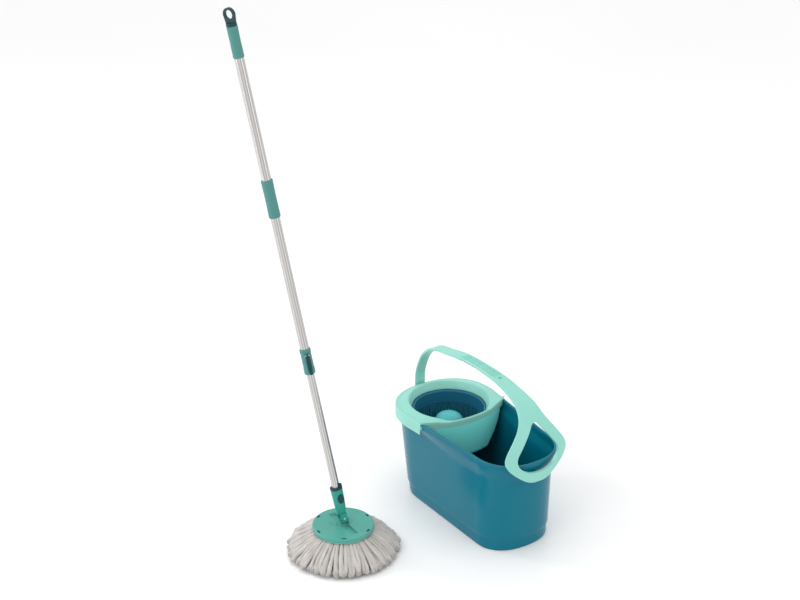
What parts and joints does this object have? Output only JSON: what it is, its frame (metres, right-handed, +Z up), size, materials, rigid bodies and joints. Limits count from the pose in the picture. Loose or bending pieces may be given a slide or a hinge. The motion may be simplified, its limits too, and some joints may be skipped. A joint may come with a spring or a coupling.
{
  "type": "spin mop",
  "caption": "Telescopic spin mop with a round strand head, beside an oval wringing bucket with spin basket, splash insert and lengthwise carry handle.",
  "frame": {"origin": "on the floor, under the middle of the box around mop and bucket", "axes": "+Z up, +X along the bucket towards its pouring end, the mop stands on the bucket's -Y side"},
  "size_m": [0.5216, 0.684, 1.3432],
  "materials": {
    "tub_plastic": "deep teal glossy injection-moulded polypropylene",
    "mint_plastic": "mint moulded polypropylene",
    "basket_plastic": "dark petrol moulded plastic",
    "dome_plastic": "turquoise moulded plastic",
    "grip_plastic": "soft sea-green grip plastic",
    "disc_plastic": "green moulded plastic",
    "socket_plastic": "green moulded plastic",
    "dark_plastic": "dark teal moulded plastic",
    "steel": "plain steel pin",
    "aluminium_tube": "fluted satin aluminium",
    "strands": "off-white microfibre yarn",
    "bearing_brass": "plain bearing metal"
  },
  "bodies": {
    "bucket": {"bucket_tub": "tub_plastic", "wringer_insert": "mint_plastic", "basket_axle": "steel", "thrust_washer": "bearing_brass", "axle_clip": "steel", "handle_pin_rear": "steel", "handle_pin_front": "steel"},
    "spin_basket": {"spin_basket": "basket_plastic", "hub_dome": "dome_plastic", "axle_bush": "bearing_brass"},
    "carry_handle": {"carry_handle": "mint_plastic"},
    "mop_pad": {"strand_skirt": "strands", "pad_ring": "mint_plastic"},
    "head_plate": {"head_disc": "disc_plastic", "fold_pin": "steel"},
    "head_joint": {"joint_block": "socket_plastic"},
    "lower_stem": {"handle_socket": "socket_plastic", "socket_collar": "dark_plastic", "lower_tube": "aluminium_tube", "drive_nut": "bearing_brass", "tilt_pin": "steel"},
    "release_button": {"release_button": "dark_plastic"},
    "stem_bearing": {"bearing_sleeve": "bearing_brass"},
    "upper_handle": {"lock_housing": "grip_plastic", "lever_pin": "steel", "clamp_shoe": "dark_plastic", "middle_tube": "aluminium_tube", "middle_grip": "grip_plastic", "tube_connector": "dark_plastic", "upper_tube": "aluminium_tube", "upper_grip": "grip_plastic", "hanging_eye": "dark_plastic", "drive_spindle": "steel", "spindle_anchor": "bearing_brass"},
    "lock_lever": {"lock_lever": "dark_plastic"}
  },
  "joints": [
    {"name": "basket_spin", "type": "hinge", "parent": "bucket", "child": "spin_basket", "pos_m": [-0.12223, 0.20598, 0.15], "axis": [0, 0, 1], "continuous": true},
    {"name": "handle_swing", "type": "hinge", "parent": "bucket", "child": "carry_handle", "pos_m": [-0.12223, 0.20598, 0.213], "axis": [1, 0, 0], "range_deg": [-75, 75]},
    {"name": "mop_lift", "type": "slide", "parent": "bucket", "child": "mop_pad", "axis": [0, 0, 1], "range_m": [0, 0.3]},
    {"name": "pad_release", "type": "slide", "parent": "mop_pad", "child": "head_plate", "axis": [0, 0, 1], "range_m": [0, 0.04]},
    {"name": "head_fold", "type": "hinge", "parent": "head_plate", "child": "head_joint", "pos_m": [-0.01313, -0.18192, 0.081], "axis": [0, 1, 0], "range_deg": [-60, 78]},
    {"name": "head_tilt", "type": "hinge", "parent": "head_joint", "child": "lower_stem", "pos_m": [-0.01465, -0.18192, 0.09038], "axis": [0.9871, 0, 0.1602], "range_deg": [-36, 23]},
    {"name": "button_press", "type": "slide", "parent": "lower_stem", "child": "release_button", "axis": [-0.9871, 0, -0.1602], "range_m": [0, 0.0015], "stiffness_N_per_m": 600, "springref_m": -0.001},
    {"name": "drive_pump", "type": "slide", "parent": "lower_stem", "child": "stem_bearing", "axis": [0.1591, 0.1189, -0.9801], "range_m": [0, 0.18]},
    {"name": "drive_spin", "type": "hinge", "parent": "stem_bearing", "child": "upper_handle", "pos_m": [-0.07765, -0.22901, 0.47849], "axis": [-0.1591, -0.1189, 0.9801], "range_deg": [-721, 721]},
    {"name": "length_lock", "type": "hinge", "parent": "upper_handle", "child": "lock_lever", "pos_m": [-0.06997, -0.23907, 0.52545], "axis": [-0.2704, -0.9495, -0.1591], "range_deg": [0, 40]}
  ],
  "couplings": [
    {"joint": "drive_spin", "follows": "drive_pump", "rad_per_m": -69.813}
  ]
}
